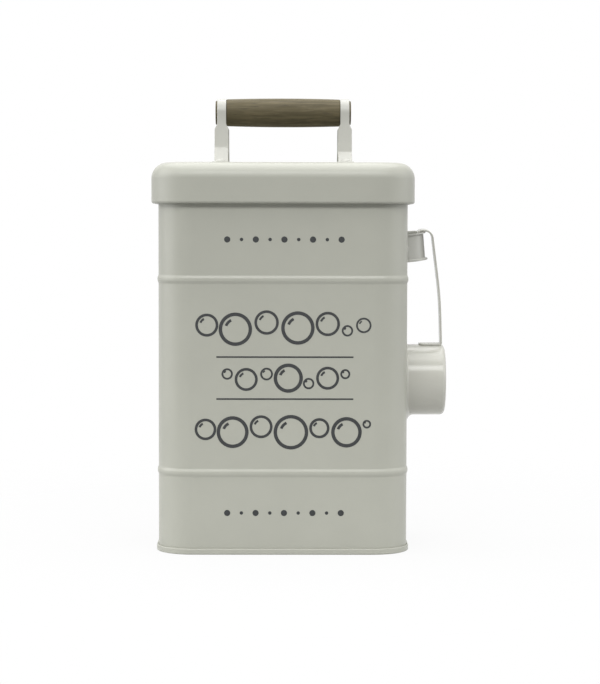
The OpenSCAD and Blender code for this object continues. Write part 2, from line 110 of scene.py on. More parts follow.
def line_beside(path, off, error=0.004):
    """The line that lies off to the left of a path of (x, y, bend radius)."""
    p = [Vector(q[:2]) for q in path]

    def left(a, b):
        u = (b - a).normalized()
        return Vector((-u.y, u.x))

    points = [p[0] + left(p[0], p[1]) * off]
    for i in range(1, len(path) - 1):
        points += bend_points(p[i - 1], p[i], p[i + 1], path[i][2], off, error)
    points.append(p[-1] + left(p[-2], p[-1]) * off)
    kept = [points[0]]
    for q in points[1:]:
        if (q - kept[-1]).length > 0.001:
            kept.append(q)
    return kept


def mirrored(path):
    return [(-x, y, r) for x, y, r in reversed(path)]


# Mesh helpers
def finish_mesh(bm, name, body, material, sharp=35, replaces=(), move=None):
    """Turns millimetres round the tin's middle into an object that rides on a body."""
    bmesh.ops.remove_doubles(bm, verts=bm.verts, dist=0.0005)
    bmesh.ops.recalc_face_normals(bm, faces=bm.faces)
    mesh = bpy.data.meshes.new(name)
    bm.to_mesh(mesh)
    bm.free()
    if move is not None:
        mesh.transform(move)
    mesh.transform(Matrix.Scale(MM, 4) @ Matrix.Translation((TIN_X, 0, 0)))
    mesh.shade_smooth()
    mesh.set_sharp_from_angle(angle=math.radians(sharp))
    obj = bpy.data.objects.new(name, mesh)
    scene.collection.objects.link(obj)
    mesh.materials.append(material)
    weighted = obj.modifiers.new("flat faces stay flat", "WEIGHTED_NORMAL")
    weighted.keep_sharp = True
    weighted.weight = 80
    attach(obj, body)
    if replaces:
        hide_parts(*replaces)
    return obj


def skin(bm, rings, closed_ring=True, closed_line=False, cap_ends=False):
    """Joins rows of points by quads. Each row is one ring; rows follow one another."""
    rows = [[bm.verts.new(p) for p in ring] for ring in rings]
    n = len(rows[0])
    pairs = list(zip(rows, rows[1:]))
    if closed_line:
        pairs.append((rows[-1], rows[0]))
    for a, b in pairs:
        for i in range(n if closed_ring else n - 1):
            j = (i + 1) % n
            bm.faces.new((a[i], a[j], b[j], b[i]))
    if cap_ends:
        bm.faces.new(list(reversed(rows[0])))
        bm.faces.new(rows[-1])
    return rows


def round_rect_stations(w, d, r, steps=26):
    """Places round a rectangle with round corners, as (centre, outward normal)."""
    stations = []
    corners = [(1, 1, 0), (-1, 1, 90), (-1, -1, 180), (1, -1, 270)]
    for sx, sy, start in corners:
        centre = Vector((sx * (w / 2 - r), sy * (d / 2 - r), 0))
        for i in range(steps + 1):
            t = math.radians(start + 90 * i / steps)
            stations.append((centre, Vector((math.cos(t), math.sin(t), 0))))
    return stations


def swept_round(bm, profile, w, d, r, closed_line, cap_ends=False, steps=26):
    """A section with x outwards and y up, swept round a rectangle with round corners."""
    stations = round_rect_stations(w, d, r, steps)
    rings = []
    for q in profile:
        rings.append([c + n * (r + q.x) + Vector((0, 0, q.y)) for c, n in stations])
    skin(bm, rings, True, closed_line, cap_ends)


def lathe(bm, profile, steps=72):
    """A profile of (radius, height) turned round Z. Radius 0 closes an end."""
    rings = []
    for q in profile:
        radius = max(q[0], 0.0)
        rings.append([
            Vector((radius * math.cos(2 * math.pi * i / steps),
                    radius * math.sin(2 * math.pi * i / steps), q[1]))
            for i in range(steps)
        ])
    rows = []
    for q, ring in zip(profile, rings):
        if q[0] <= 0:
            v = bm.verts.new((0, 0, q[1]))
            rows.append([v] * steps)
        else:
            rows.append([bm.verts.new(p) for p in ring])
    for a, b in zip(rows, rows[1:]):
        for i in range(steps):
            j = (i + 1) % steps
            face = []
            for v in (a[i], a[j], b[j], b[i]):
                if v not in face:
                    face.append(v)
            if len(face) > 2:
                bm.faces.new(face)


def rounded_section(half_w, half_t, edge, steps=4):
    """Outline of a flat bar's section with rounded edges, as (across, through)."""
    edge = min(edge, half_t * 0.98, half_w * 0.98)
    points = []
    for sx, sy, start in [(1, 1, 0), (-1, 1, 90), (-1, -1, 180), (1, -1, 270)]:
        for i in range(steps + 1):
            t = math.radians(start + 90 * i / steps)
            points.append((sx * (half_w - edge) + edge * math.cos(t),
                           sy * (half_t - edge) + edge * math.sin(t)))
    return points


# Materials
def new_material(name):
    mat = bpy.data.materials.new(name)
    mat.use_nodes = True
    tree = mat.node_tree
    tree.nodes.clear()
    out = tree.nodes.new("ShaderNodeOutputMaterial")
    bsdf = tree.nodes.new("ShaderNodeBsdfPrincipled")
    tree.links.new(bsdf.outputs["BSDF"], out.inputs["Surface"])
    return mat, tree, bsdf


def node(tree, kind, inputs=None, **settings):
    made = tree.nodes.new(kind)
    for key, value in settings.items():
        setattr(made, key, value)
    for key, value in (inputs or {}).items():
        if isinstance(value, bpy.types.NodeSocket):
            tree.links.new(value, made.inputs[key])
        else:
            made.inputs[key].default_value = value
    return made


def mix_colour(tree, factor, a, b):
    made = node(tree, "ShaderNodeMix", data_type="RGBA")
    for index, value in ((0, factor), (6, a), (7, b)):
        if isinstance(value, bpy.types.NodeSocket):
            tree.links.new(value, made.inputs[index])
        elif index:
            made.inputs[index].default_value = (*value, 1)
        else:
            made.inputs[index].default_value = value
    return made.outputs[2]


def map_range(tree, value, low, high, out_low, out_high):
    made = node(tree, "ShaderNodeMapRange", {
        "Value": value, "From Min": low, "From Max": high,
        "To Min": out_low, "To Max": out_high})
    return made.outputs["Result"]


def shade(colour, factor):
    return tuple(min(1, c * factor) for c in colour)


def enamel(name, colour, rough, peel, wave):
    """Baked enamel on thin sheet: faint mottling, orange peel, gently wavy metal, with painted
    shade in creases and a painted highlight on convex edges.
    """
    mat, tree, bsdf = new_material(name)
    place = node(tree, "ShaderNodeTexCoord").outputs["Object"]
    mottle = node(tree, "ShaderNodeTexNoise", {
        "Vector": place, "Scale": 22, "Detail": 4, "Roughness": 0.6}).outputs["Fac"]
    grain = node(tree, "ShaderNodeTexNoise", {
        "Vector": place, "Scale": 900, "Detail": 2}).outputs["Fac"]
    smear = node(tree, "ShaderNodeTexNoise", {
        "Vector": place, "Scale": 60, "Detail": 6, "Roughness": 0.65}).outputs["Fac"]
    point = node(tree, "ShaderNodeNewGeometry").outputs["Pointiness"]
    cloudy = mix_colour(tree, map_range(tree, mottle, 0.3, 0.7, 0, 1),
                        shade(colour, 0.975), shade(colour, 1.02))
    specked = mix_colour(tree, map_range(tree, grain, 0.62, 0.8, 0, 0.35),
                         cloudy, shade(colour, 0.93))
    # Painted shade: the enamel is darkened in concave creases and hollows, where shade falls.
    painted_crease_shade = mix_colour(tree, map_range(tree, point, 0.47, 0.4, 0, 0.3),
                       specked, shade(colour, 0.72))
    # Painted highlight: the enamel is lightened on convex edges, where light catches them.
    painted_edge_highlight = mix_colour(tree, map_range(tree, point, 0.56, 0.7, 0, 0.35),
                      painted_crease_shade, shade(colour, 1.12))
    tree.links.new(painted_edge_highlight, bsdf.inputs["Base Color"])
    gloss = map_range(tree, smear, 0.3, 0.75, rough - 0.05, rough + 0.07)
    tree.links.new(gloss, bsdf.inputs["Roughness"])
    peel_noise = node(tree, "ShaderNodeTexNoise", {
        "Vector": place, "Scale": 420, "Detail": 2}).outputs["Fac"]
    wave_noise = node(tree, "ShaderNodeTexNoise", {
        "Vector": place, "Scale": 11, "Detail": 1}).outputs["Fac"]
    waves = node(tree, "ShaderNodeBump", {
        "Strength": 1, "Distance": wave, "Height": wave_noise})
    peeled = node(tree, "ShaderNodeBump", {
        "Strength": 1, "Distance": peel, "Height": peel_noise,
        "Normal": waves.outputs["Normal"]})
    tree.links.new(peeled.outputs["Normal"], bsdf.inputs["Normal"])
    bsdf.inputs["IOR"].default_value = 1.5
    return mat


def walnut(name):
    """Oiled dark wood with its grain along X, open pores and a painted highlight on its convex
    edges and ends.
    """
    mat, tree, bsdf = new_material(name)
    place = node(tree, "ShaderNodeTexCoord").outputs["Object"]
    long = node(tree, "ShaderNodeMapping", {"Vector": place, "Scale": (0.09, 1, 1)})
    fibres = node(tree, "ShaderNodeTexNoise", {
        "Vector": long.outputs["Vector"], "Scale": 420, "Detail": 6,
        "Roughness": 0.62, "Distortion": 0.4}).outputs["Fac"]
    rings = node(tree, "ShaderNodeTexNoise", {
        "Vector": long.outputs["Vector"], "Scale": 70, "Detail": 3,
        "Distortion": 1.2}).outputs["Fac"]
    pore_place = node(tree, "ShaderNodeMapping", {"Vector": place, "Scale": (0.05, 1, 1)})
    pores = node(tree, "ShaderNodeTexNoise", {
        "Vector": pore_place.outputs["Vector"], "Scale": 1500, "Detail": 2}).outputs["Fac"]
    dark, mid, light = (0.058, 0.047, 0.022), (0.105, 0.086, 0.042), (0.155, 0.128, 0.068)
    ringed = mix_colour(tree, map_range(tree, rings, 0.35, 0.65, 0, 1), dark, mid)
    fibred = mix_colour(tree, map_range(tree, fibres, 0.45, 0.75, 0, 0.8), ringed, light)
    pored = mix_colour(tree, map_range(tree, pores, 0.6, 0.72, 0, 0.75),
                       fibred, (0.035, 0.027, 0.017))
    point = node(tree, "ShaderNodeNewGeometry").outputs["Pointiness"]
    # Painted highlight: the wood is lightened on its convex edges and ends, where light
    # catches them.
    painted_wood_edge_highlight = mix_colour(tree, map_range(tree, point, 0.53, 0.62, 0, 0.4), pored, light)
    tree.links.new(painted_wood_edge_highlight, bsdf.inputs["Base Color"])
    gloss = map_range(tree, fibres, 0.3, 0.7, 0.72, 0.58)
    tree.links.new(gloss, bsdf.inputs["Roughness"])
    grooves = node(tree, "ShaderNodeBump", {
        "Strength": 0.5, "Distance": 0.00012, "Height": pores}, invert=True)
    bsdf.inputs["Specular IOR Level"].default_value = 0.35
    ribs = node(tree, "ShaderNodeBump", {
        "Strength": 0.5, "Distance": 0.00018, "Height": fibres,
        "Normal": grooves.outputs["Normal"]})
    tree.links.new(ribs.outputs["Normal"], bsdf.inputs["Normal"])
    return mat


def ink(name, colour):
    """Thin matt screen print, a little uneven in tone."""
    mat, tree, bsdf = new_material(name)
    place = node(tree, "ShaderNodeTexCoord").outputs["Object"]
    patchy = node(tree, "ShaderNodeTexNoise", {
        "Vector": place, "Scale": 260, "Detail": 4}).outputs["Fac"]
    toned = mix_colour(tree, map_range(tree, patchy, 0.35, 0.7, 0, 1),
                       shade(colour, 0.85), shade(colour, 1.35))
    tree.links.new(toned, bsdf.inputs["Base Color"])
    tree.links.new(map_range(tree, patchy, 0.3, 0.7, 0.5, 0.62), bsdf.inputs["Roughness"])
    return mat


CREAM = (0.418, 0.422, 0.367)
# Painted light: the straps, rivets and bracket take the tin's cream enamel painted lighter,
# standing in for the stronger light they catch.
FITTING_CREAM_PAINTED_LIGHTER = (0.485, 0.485, 0.445)
SCOOP_CREAM = (0.52, 0.517, 0.465)
tin_enamel = enamel("tin_enamel", CREAM, 0.36, 0.00002, 0.0008)
scoop_enamel = enamel("scoop_enamel", SCOOP_CREAM, 0.2, 0.00002, 0.0002)
fitting_enamel_painted_lighter = enamel("fitting_enamel_painted_lighter", FITTING_CREAM_PAINTED_LIGHTER, 0.34, 0.00002, 0.0002)
wood = walnut("walnut")
charcoal = ink("charcoal_ink", (0.021, 0.023, 0.024))


# Tin
def layer(k):
    return (k - 0.5) * SHEET_T + k * SEAM_GAP


def bead(z, out=0.0):
    return [(layer(0) + out, z - BEAD_H / 2, BEAD_R),
            (layer(0) + BEAD_OUT + out, z - BEAD_H / 6, BEAD_R),
            (layer(0) + BEAD_OUT + out, z + BEAD_H / 6, BEAD_R),
            (layer(0) + out, z + BEAD_H / 2, BEAD_R)]


HOOK_BEND = SHEET_T + SEAM_GAP
CURL_R = RIM_R - SHEET_T / 2
RIM_MID_Z = BODY_H - RIM_R
WALL_FOOT_Z = 1.5 * SHEET_T + SEAM_GAP


def tin_body():
    path = ([(layer(2), SEAM_H - SHEET_T - HOOK_GAP, 0),
             (layer(2), WALL_FOOT_Z, HOOK_BEND), (layer(0), WALL_FOOT_Z, HOOK_BEND)]
            + bead(LOWER_BEAD_Z) + bead(UPPER_BEAD_Z)
            + [(layer(0), RIM_MID_Z + CURL_R, CURL_R),
               (layer(0) - 2 * CURL_R, RIM_MID_Z + CURL_R, CURL_R),
               (layer(0) - 2 * CURL_R, RIM_MID_Z - CURL_R, CURL_R),
               (layer(0) - CURL_R / 2, RIM_MID_Z - CURL_R, 0)])
    left, right = line_beside(path, SHEET_T / 2), line_beside(path, -SHEET_T / 2)
    bm = bmesh.new()
    swept_round(bm, left + right[::-1], BODY_W, BODY_D, CORNER_R, closed_line=True)
    lap = ([(layer(1) - SEAM_GAP, SEAM_H + HOOK_GAP, 0)]
           + bead(LOWER_BEAD_Z, SHEET_T) + bead(UPPER_BEAD_Z, SHEET_T)
           + [(layer(1) - SEAM_GAP, RIM_MID_Z - 2 * RIM_R, 0)])
    outer, inner = line_beside(lap, -SHEET_T / 2), line_beside(lap, SHEET_T / 2 + 0.05)
    section = outer + inner[::-1]
    rings = [[Vector((x, BODY_D / 2 + q.x, q.y)) for q in section]
             for x in (-LAP_W / 2, LAP_W / 2)]
    skin(bm, rings, True, False, True)
    return finish_mesh(bm, "tin_wall", "tin", tin_enamel, replaces=["tin_body"])


def base_pan():
    bend = 1.5 * HOOK_BEND
    path = [(layer(-1) - PANEL_BEND - PLATE_JOIN, PANEL_Z - SHEET_T / 2, 0),
            (layer(-1), PANEL_Z - SHEET_T / 2, PANEL_BEND),
            (layer(-1), SHEET_T / 2, bend), (layer(3), SHEET_T / 2, bend),
            (layer(3), SEAM_H - SHEET_T / 2, HOOK_BEND),
            (layer(1), SEAM_H - SHEET_T / 2, HOOK_BEND),
            (layer(1), WALL_FOOT_Z + SHEET_T / 2 + HOOK_GAP, 0)]
    left, right = line_beside(path, SHEET_T / 2), line_beside(path, -SHEET_T / 2)
    bm = bmesh.new()
    swept_round(bm, left + right[::-1], BODY_W, BODY_D, CORNER_R, False, True)
    return finish_mesh(bm, "base_plate_and_seam", "tin", tin_enamel,
                       replaces=["base_pan"])


def lid_shell():
    hem = HEM_R - SHEET_T / 2
    skirt = -SHEET_T / 2
    path = [(skirt - hem / 2, LID_LOW_Z + SHEET_T / 2 + 2 * hem, 0),
            (skirt - 2 * hem, LID_LOW_Z + SHEET_T / 2 + 2 * hem, hem),
            (skirt - 2 * hem, LID_LOW_Z + SHEET_T / 2, hem),
            (skirt, LID_LOW_Z + SHEET_T / 2, hem),
            (skirt, LID_TOP_Z - SHEET_T / 2, LID_EDGE_R - SHEET_T / 2),
            (-LID_EDGE_R - PLATE_JOIN, LID_TOP_Z - SHEET_T / 2, 0)]
    left, right = line_beside(path, SHEET_T / 2), line_beside(path, -SHEET_T / 2)
    bm = bmesh.new()
    swept_round(bm, left[::-1] + right, LID_W, LID_D, LID_CORNER_R, False, True)
    return finish_mesh(bm, "lid", "lid", tin_enamel, replaces=["lid_shell"])


# Handle
def handle_strap(side, knee_h, name, node_name):
    leg_y = (LEG_SPREAD - STRAP_T) / 2
    half = [(FOOT_REACH, STRAP_T / 2, 0),
            (FOOT_REACH - FOOT_W / 2 - STRAP_T, STRAP_T / 2, 2 * STRAP_T),
            (leg_y, knee_h, 2 * STRAP_T),
            (HOOP_R, GRIP_H - 0.35 * TENON_D, LEG_BEND_R),
            (HOOP_R, GRIP_H + HOOP_R, HOOP_R)]
    front = [(LEG_W / 2, -1, 0), (LEG_W / 2, GRIP_H - 0.7 * TENON_D, 2),
             (NECK_W / 2, GRIP_H - TENON_D / 2, 2), (NECK_W / 2, GRIP_H + TENON_D, 0)]
    outline = line_beside(front, 0, 0.002)

    def half_width(z):
        for a, b in zip(outline, outline[1:]):
            if a.y <= z <= b.y and b.y > a.y:
                return a.x + (b.x - a.x) * (z - a.y) / (b.y - a.y)
        return outline[-1].x

    centre = line_beside(half + mirrored(half), 0, 0.002)
    dense = [centre[0]]
    for a, b in zip(centre, centre[1:]):
        pieces = max(1, math.ceil((b - a).length / 1.0))
        dense += [a + (b - a) * k / pieces for k in range(1, pieces + 1)]
    bm = bmesh.new()
    rings = []
    for i, q in enumerate(dense):
        before, after = dense[max(i - 1, 0)], dense[min(i + 1, len(dense) - 1)]
        along = (after - before).normalized()
        out = Vector((0, -along.y, along.x))
        section = rounded_section(half_width(q.y), STRAP_T / 2, 0.35)
        rings.append([Vector((side * STRAP_SPAN / 2 + u, q.x, LID_TOP_Z + q.y)) + out * v
                      for u, v in section])
    skin(bm, rings, True, False, True)
    for sy in (-1, 1):
        disc = bmesh.new()
        r, t, e = FOOT_W / 2, STRAP_T + 0.05, 0.4
        profile = [(0, 0), (r - 0.15, 0), (r, 0.15)]
        for k in range(6):
            a = math.radians(90 * k / 5)
            profile.append((r - e + e * math.cos(a), t - e + e * math.sin(a)))
        profile.append((0, t))
        lathe(disc, profile, 48)
        disc.transform(Matrix.Translation(
            (side * STRAP_SPAN / 2, sy * FOOT_REACH, LID_TOP_Z)))
        held = bpy.data.meshes.new("held")
        disc.to_mesh(held)
        disc.free()
        bm.from_mesh(held)
        bpy.data.meshes.remove(held)
    return finish_mesh(bm, name, "lid", fitting_enamel_painted_lighter, replaces=[node_name])


def wooden_grip():
    barrel = STRAP_SPAN - NECK_W - 2 * GRIP_FIT
    length = STRAP_SPAN + NECK_W + 2 * TENON_OUT
    half = [(0, -length / 2, 0), (TENON_D / 2, 0.3 - length / 2, 0.8),
            (TENON_D / 2, -barrel / 2, 0),
            (GRIP_END_D / 2, -barrel / 2, (GRIP_END_D - TENON_D) / 2.5)]
    steps = 20
    for i in range(1, steps):
        s = 1 - i / steps
        half.append(((GRIP_D - (GRIP_D - GRIP_END_D) * s * s) / 2, -s * barrel / 2, 0))
    whole = half + [(GRIP_D / 2, 0, 0)] + [(x, -y, r) for x, y, r in reversed(half)]
    profile = [(q.x, q.y) for q in line_beside(whole, 0, 0.002)]
    bm = bmesh.new()
    lathe(bm, profile, 96)
    turn = Matrix.Translation((0, 0, GRIP_Z)) @ Matrix.Rotation(math.radians(90), 4, "Y")
    return finish_mesh(bm, "walnut_grip", "lid", wood, 30, ["wooden_grip"], turn)


def rivet_profile(d, h, shank, layers):
    ball = (d * d / 4 + h * h) / (2 * h)
    top = math.acos(max(-1, (ball - h) / ball))
    profile = []
    for k in range(13):
        a = top * k / 12
        profile.append((ball * math.sin(a), h - ball + ball * math.cos(a)))
    profile[0] = (0, h)
    profile[-1] = (d / 2, 0.02)
    tail = 0.4 * d
    profile += [(d / 2 - 0.1, -0.02), (shank / 2, -0.02), (shank / 2, -layers),
                (tail, -layers), (tail, -layers - 0.7 * TAIL_H),
                (0.8 * tail, -layers - TAIL_H), (0, -layers - TAIL_H)]
    return profile


def rivets():
    for sx, side in ((-1, "left"), (1, "right")):
        for sy, end in ((-1, "front"), (1, "back")):
            bm = bmesh.new()
            lathe(bm, rivet_profile(HEAD_D, HEAD_H, SHANK_D, STRAP_T + SHEET_T), 48)
            place = Matrix.Translation(
                (sx * STRAP_SPAN / 2, sy * FOOT_REACH, LID_TOP_Z + STRAP_T))
            name = f"handle_rivet_{side}_{end}"
            finish_mesh(bm, "painted_" + name, "lid", fitting_enamel_painted_lighter, 50, [name],
                        place)
    for sy, end in ((-1, "front"), (1, "back")):
        bm = bmesh.new()
        lathe(bm, rivet_profile(SMALL_HEAD_D, SMALL_HEAD_H, SMALL_SHANK_D,
                                BRACKET_T + SHEET_T), 40)
        place = (at_bracket() @ Matrix.Translation((BRACKET_T, sy * EAR_RIVET_Y, 0))
                 @ Matrix.Rotation(math.radians(90), 4, "Y"))
        name = f"bracket_rivet_{end}"
        finish_mesh(bm, "painted_" + name, "tin", fitting_enamel_painted_lighter, 50, [name],
                    place)


# Scoop bracket
def at_bracket():
    return (Matrix.Translation((BODY_W / 2, 0, BRACKET_Z))
            @ Matrix.Rotation(ROLL, 4, "X"))


def scoop_bracket():
    path = [(FLARE_OUT, (BRACKET_H - BRACKET_T) / 2, 0),
            (-BRACKET_T / 2, (BRACKET_H - BRACKET_T) / 2, FLARE_OUT),
            (-BRACKET_T / 2, (BRACKET_T - BRACKET_H) / 2, FLARE_OUT),
            (FLARE_OUT, (BRACKET_T - BRACKET_H) / 2, 0)]
    left, right = line_beside(path, BRACKET_T / 2), line_beside(path, -BRACKET_T / 2)
    section = left + right[::-1]
    straight = BRACKET_OUT - BRACKET_R
    sunk = BRACKET_H / 2 * math.tan(TILT) + 0.5
    stations = [(Vector((-sunk, 0, 0)), -90)]
    steps = 56
    for i in range(steps + 1):
        stations.append((Vector((straight, 0, 0)), -90 + 180 * i / steps))
    stations.append((Vector((-sunk, 0, 0)), 90))
    slanted = Matrix.Rotation(-TILT, 3, "Y")
    rings = []
    for centre, degrees in stations:
        a = math.radians(degrees)
        n = Vector((math.cos(a), math.sin(a), 0))
        ring = [slanted @ (centre + n * (BRACKET_R + q.x) + Vector((0, 0, q.y)))
                for q in section]
        if centre.x < 0:
            along = slanted @ Vector((1, 0, 0))
            ring = [p - along * (p.x / along.x) for p in ring]
        rings.append(ring)
    bm = bmesh.new()
    skin(bm, rings, True, False, True)
    for sy in (-1, 1):
        root_y = sy * (BRACKET_R - BRACKET_T + 0.2)
        points = [(root_y, EAR_H / 2)]
        for k in range(25):
            a = math.radians(90 - 180 * k / 24)
            points.append((sy * (EAR_RIVET_Y + EAR_H / 2 * math.cos(a)),
                           EAR_H / 2 * math.sin(a)))
        points.append((root_y, -EAR_H / 2))
        soft = 0.25
        rings = []
        for x, inset in ((0.0, 0.0), (BRACKET_T - soft, 0.0),
                         (BRACKET_T - 0.3 * soft, 0.3 * soft), (BRACKET_T, soft)):
            ring = []
            for y, z in points:
                away = Vector((y - sy * EAR_RIVET_Y, z))
                scale = 1 - inset / max(away.length, 0.001)
                ring.append(Vector((x, sy * EAR_RIVET_Y + away.x * scale, away.y * scale)))
            rings.append(ring)
        skin(bm, rings, True, False, True)
    return finish_mesh(bm, "bracket", "tin", fitting_enamel_painted_lighter, 40, ["scoop_bracket"],
                       at_bracket())


# Scoop
def scoop_cup():
    """The cup: a flared, dished can whose mouth runs out into a pouring lip below."""
    cup_r = (CUP_D - CUP_T) / 2
    past = 1

    def flared(r, out, slope, bend_r):
        t = math.tan(math.radians(slope))
        return [(r + out + past * t, -past, 0), (r, out / t, bend_r)]

    body = line_beside(flared(cup_r, CUP_RIM_OUT, 45, 2)
                       + [(cup_r, CUP_LEN - CUP_T / 2, CUP_EDGE_R - CUP_T / 2),
                          (0, CUP_LEN - CUP_T / 2, 0)], 0, 0.003)
    lip_sink = CUP_T / 4
    shift = CUP_D / 2 - LIP_R - lip_sink
    lip = line_beside(flared(LIP_R - CUP_T / 2, LIP_OUT + lip_sink, LIP_SLOPE, LIP_BEND)
                      + [(LIP_R - CUP_T / 2, 60, 0)], 0, 0.003)

    def radius_at(line, x):
        for a, b in zip(line, line[1:]):
            if a.y <= x <= b.y and b.y > a.y:
                return a.x + (b.x - a.x) * (x - a.y) / (b.y - a.y)
        return line[-1].x

    xs = [q.y for q in body if q.y > 0]
    side_end = next(i for i, q in enumerate(body) if q.y > CUP_LEN - CUP_EDGE_R - 0.01)
    stations = [0.0]
    x = 0.0
    side_x = body[side_end].y
    while x < side_x:
        x = min(side_x, x + (0.3 if x < 5 else 0.8 if x < 12 else 3.0))
        stations.append(x)
    angles = 144
    grid = []
    for x in stations:
        row = []
        for k in range(angles):
            a = 2 * math.pi * k / angles
            down = math.cos(a)
            r_body = radius_at(body, x)
            rho = radius_at(lip, x)
            along = shift * down
            r_lip = along + math.sqrt(max(0.0, rho * rho - shift * shift + along * along))
            soft = 0.9
            h = max(0.0, min(1.0, 0.5 + 0.5 * (r_lip - r_body) / soft))
            r = r_body * (1 - h) + r_lip * h + soft * h * (1 - h)
            if r_lip < r_body - soft:
                r = r_body
            row.append(Vector((x, r * math.sin(a), -r * down)))
        grid.append(row)
    end = [q for q in body if q.y > side_x + 1e-6 and q.x > 0.5]
    end += [Vector((r, CUP_LEN - CUP_T / 2)) for r in (18, 12, 6)]
    for q in end:
        grid.append([Vector((q.y, q.x * math.sin(2 * math.pi * k / angles),
                             -q.x * math.cos(2 * math.pi * k / angles)))
                     for k in range(angles)])

    def normal(i, k):
        a, b = grid[max(i - 1, 0)][k], grid[min(i + 1, len(grid) - 1)][k]
        c, d = grid[i][(k - 1) % angles], grid[i][(k + 1) % angles]
        return (b - a).cross(d - c).normalized()

    flip = 1 if normal(5, 0).dot(Vector((0, 0, -1))) > 0 else -1
    half = CUP_T / 2
    outer, inner, rim = [], [], []
    for i, row in enumerate(grid):
        outer.append([p + normal(i, k) * flip * half for k, p in enumerate(row)])
        inner.append([p - normal(i, k) * flip * half for k, p in enumerate(row)])
    for j in range(1, 6):
        a = math.radians(180 * j / 6)
        ring = []
        for k, p in enumerate(grid[0]):
            n = normal(0, k) * flip
            ahead = (grid[0][k] - grid[1][k]).normalized()
            ring.append(p + n * half * math.cos(a) + ahead * half * math.sin(a))
        rim.append(ring)
    rings = outer[::-1] + rim + inner
    low = min(p.x for ring in rings for p in ring)
    for ring in rings:
        for p in ring:
            if p.x < 6:
                p.x += -low * (1 - max(0.0, p.x) / 6) if low < 0 else 0
    bm = bmesh.new()
    skin(bm, rings, True, False, True)
    return finish_mesh(bm, "cup", "tin", scoop_enamel, 45, ["scoop_cup"],
                       Matrix.Translation((CUP_MOUTH_X, 0, CUP_Z)))


def scoop_handle():
    lean = math.tan(math.radians(HOOK_LEAN))
    bend_x = HOOK_X + HOOK_W + (STRAP_BEND_DROP - SCOOP_STRAP_T / 2) * lean
    tab_z = CUP_TOP_Z + WELD_GAP + SCOOP_STRAP_T / 2
    path = [(HOOK_X, HOOK_MID_Z - HOOK_LEG, 0), (HOOK_X, HOOK_MID_Z, 2.5 * SCOOP_STRAP_T),
            (HOOK_X + HOOK_W, HOOK_MID_Z, 5 * SCOOP_STRAP_T),
            (bend_x, HOOK_LOW_Z + SCOOP_STRAP_T - STRAP_BEND_DROP, STRAP_BEND_R),
            (STRAP_FOOT_X, tab_z, 1.3),
            (STRAP_FOOT_X + SCOOP_STRAP_T / 2 - TAB_LEN, tab_z, 0)]
    centre = line_beside(path, 0, 0.002)
    dense = [centre[0]]
    for a, b in zip(centre, centre[1:]):
        pieces = max(1, math.ceil((b - a).length / 1.5))
        dense += [a + (b - a) * k / pieces for k in range(1, pieces + 1)]
    inner_r = CUP_D / 2 + WELD_GAP + SCOOP_STRAP_T / 2
    half_w, half_t, edge = SCOOP_STRAP_W / 2, SCOOP_STRAP_T / 2, 0.3
    across = []
    for sx, sy, start in [(1, 1, 0), (-1, 1, 90), (-1, -1, 180), (1, -1, 270)]:
        for i in range(4):
            a = math.radians(start + 90 * i / 3)
            across.append((sx * (half_w - edge) + edge * math.cos(a),
                           sy * (half_t - edge) + edge * math.sin(a)))
        if start in (0, 180):
            for i in range(1, 12):
                u = sx * (half_w - edge) * (1 - 2 * i / 12)
                across.append((u, sy * half_t))
    bm = bmesh.new()
    rings = []
    for i, q in enumerate(dense):
        before, after = dense[max(i - 1, 0)], dense[min(i + 1, len(dense) - 1)]
        along = (after - before).normalized()
        out = Vector((-along.y, 0, along.x))
        blend = max(0.0, min(1.0, 1 - (q.y - tab_z) / 9)) if q.x > STRAP_FOOT_X - 30 else 0
        blend = blend * blend * (3 - 2 * blend)
        if q.y > HOOK_LOW_Z - STRAP_BEND_DROP:
            blend = 0
        trim = 1.0
        left_over = q.x - (STRAP_FOOT_X + SCOOP_STRAP_T / 2 - TAB_LEN)
        if blend > 0.99 and left_over < 3:
            trim = 1 - 0.35 * (1 - max(left_over, 0) / 3) ** 2
        lie = max(0.0, min(1.0, (q.y - HOOK_LOW_Z) / HOOK_LIE_FADE + 1)) * math.tan(ROLL)
        ring = []
        for u, v in across:
            u = u * trim
            sag = inner_r - math.sqrt(inner_r * inner_r - u * u)
            ring.append(Vector((q.x, u, q.y - blend * sag - lie * (half_w - u))) + out * v)
        rings.append(ring)
    skin(bm, rings, True, False, True)
    return finish_mesh(bm, "scoop_strap", "tin", scoop_enamel, 40, ["scoop_handle"])


